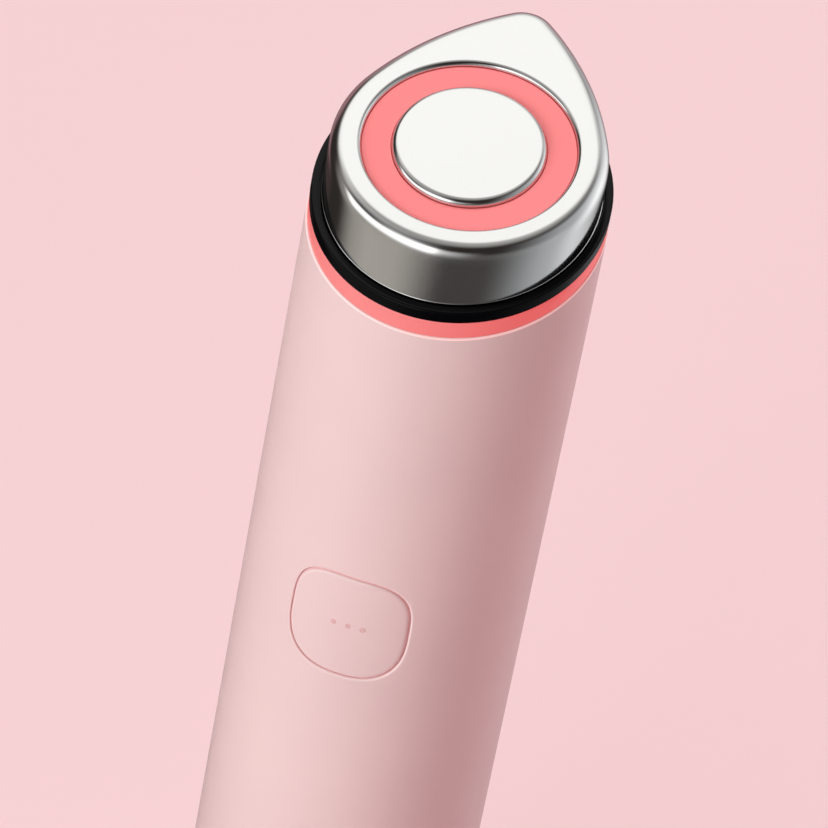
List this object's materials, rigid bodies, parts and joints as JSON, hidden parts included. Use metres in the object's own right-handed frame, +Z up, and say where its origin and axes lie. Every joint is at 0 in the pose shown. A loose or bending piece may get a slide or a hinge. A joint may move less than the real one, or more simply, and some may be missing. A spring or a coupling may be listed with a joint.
{
  "type": "skin booster device",
  "caption": "Handheld skin booster: round matte handle cut off at a slant, lit ring, black ring, drop-shaped metal treatment head with a round electrode, and a flush push button.",
  "frame": {"origin": "middle of the flat base, where the charging port's mouth opens", "axes": "+Z up along the handle to the treatment head, -Y towards the button, +X to the right as seen from the button's side"},
  "size_m": [0.037, 0.0407, 0.1525],
  "materials": {
    "shell_pink": "fine satin texture, dusty pink",
    "guide_pink": "smooth, faintly translucent rose",
    "light_coral": "smooth diffusing coral, lit from inside",
    "lens_coral": "smooth translucent coral",
    "insulator_black": "high gloss black",
    "head_metal": "mirror polish",
    "contact_brass": "stamped, bright",
    "carrier_white": "as moulded",
    "frame_grey": "as moulded",
    "port_steel": "drawn, bright nickel",
    "screw_steel": "zinc plated",
    "tongue_black": "as moulded",
    "board_green": "solder mask",
    "board_white": "white solder mask",
    "chip_black": "moulded epoxy",
    "coil_brown": "taped winding",
    "capacitor_blue": "sleeved can",
    "lamp_white": "clear cast lamp body",
    "switch_black": "moulded",
    "plunger_cream": "moulded",
    "holder_dark": "moulded",
    "pad_rubber": "soft silicone",
    "seal_rubber": "moulded cord",
    "boot_rubber": "moulded sleeve",
    "foam_grey": "cut foam",
    "cell_blue": "heat-shrunk wrap",
    "lead_red": "insulated lead",
    "motor_steel": "drawn can",
    "shaft_steel": "ground",
    "weight_brass": "sintered",
    "cable_amber": "thin flexible film"
  },
  "bodies": {
    "wand": {"handle_shell": "shell_pink", "base_cap": "shell_pink", "base_seal": "seal_rubber", "base_screws": "screw_steel", "charge_port_shell": "port_steel", "charge_port_tongue": "tongue_black", "charge_board": "board_green", "charge_leads": "lead_red", "inner_frame": "frame_grey", "main_board": "board_green", "board_screws": "screw_steel", "board_chips": "chip_black", "pulse_transformer": "coil_brown", "storage_capacitors": "capacitor_blue", "level_leds": "lamp_white", "switch_body": "switch_black", "button_holder": "holder_dark", "button_pad": "pad_rubber", "battery_cell": "cell_blue", "battery_pad": "foam_grey", "battery_leads": "lead_red", "motor_can": "motor_steel", "motor_boot": "boot_rubber", "head_mount": "frame_grey", "mount_seal": "seal_rubber", "frame_screws": "screw_steel", "head_screws": "screw_steel", "light_ring": "light_coral", "insulator_ring": "insulator_black", "head_shell": "head_metal", "electrode_carrier": "carrier_white", "face_lens": "lens_coral", "center_electrode": "head_metal", "center_contact": "contact_brass", "face_led_board": "board_white", "face_leds": "lamp_white", "head_cable": "cable_amber"},
    "button": {"button_cap": "shell_pink", "button_light_guide": "guide_pink"},
    "switch_pin": {"switch_plunger": "plunger_cream"},
    "rotor": {"motor_shaft": "shaft_steel", "motor_weight": "weight_brass"}
  },
  "joints": [
    {"name": "button_press", "type": "slide", "parent": "wand", "child": "button", "axis": [0, 1, 0], "range_m": [0, 0.00035], "stiffness_N_per_m": 800, "springref_m": -0.0005},
    {"name": "switch_press", "type": "slide", "parent": "wand", "child": "switch_pin", "axis": [0, 1, 0], "range_m": [0, 0.00045]},
    {"name": "motor_spin", "type": "hinge", "parent": "wand", "child": "rotor", "pos_m": [0, 0.004, 0.1], "axis": [0, 0, 1], "continuous": true}
  ],
  "couplings": [
    {"joint": "switch_press", "follows": "button_press", "ratio": 1}
  ]
}
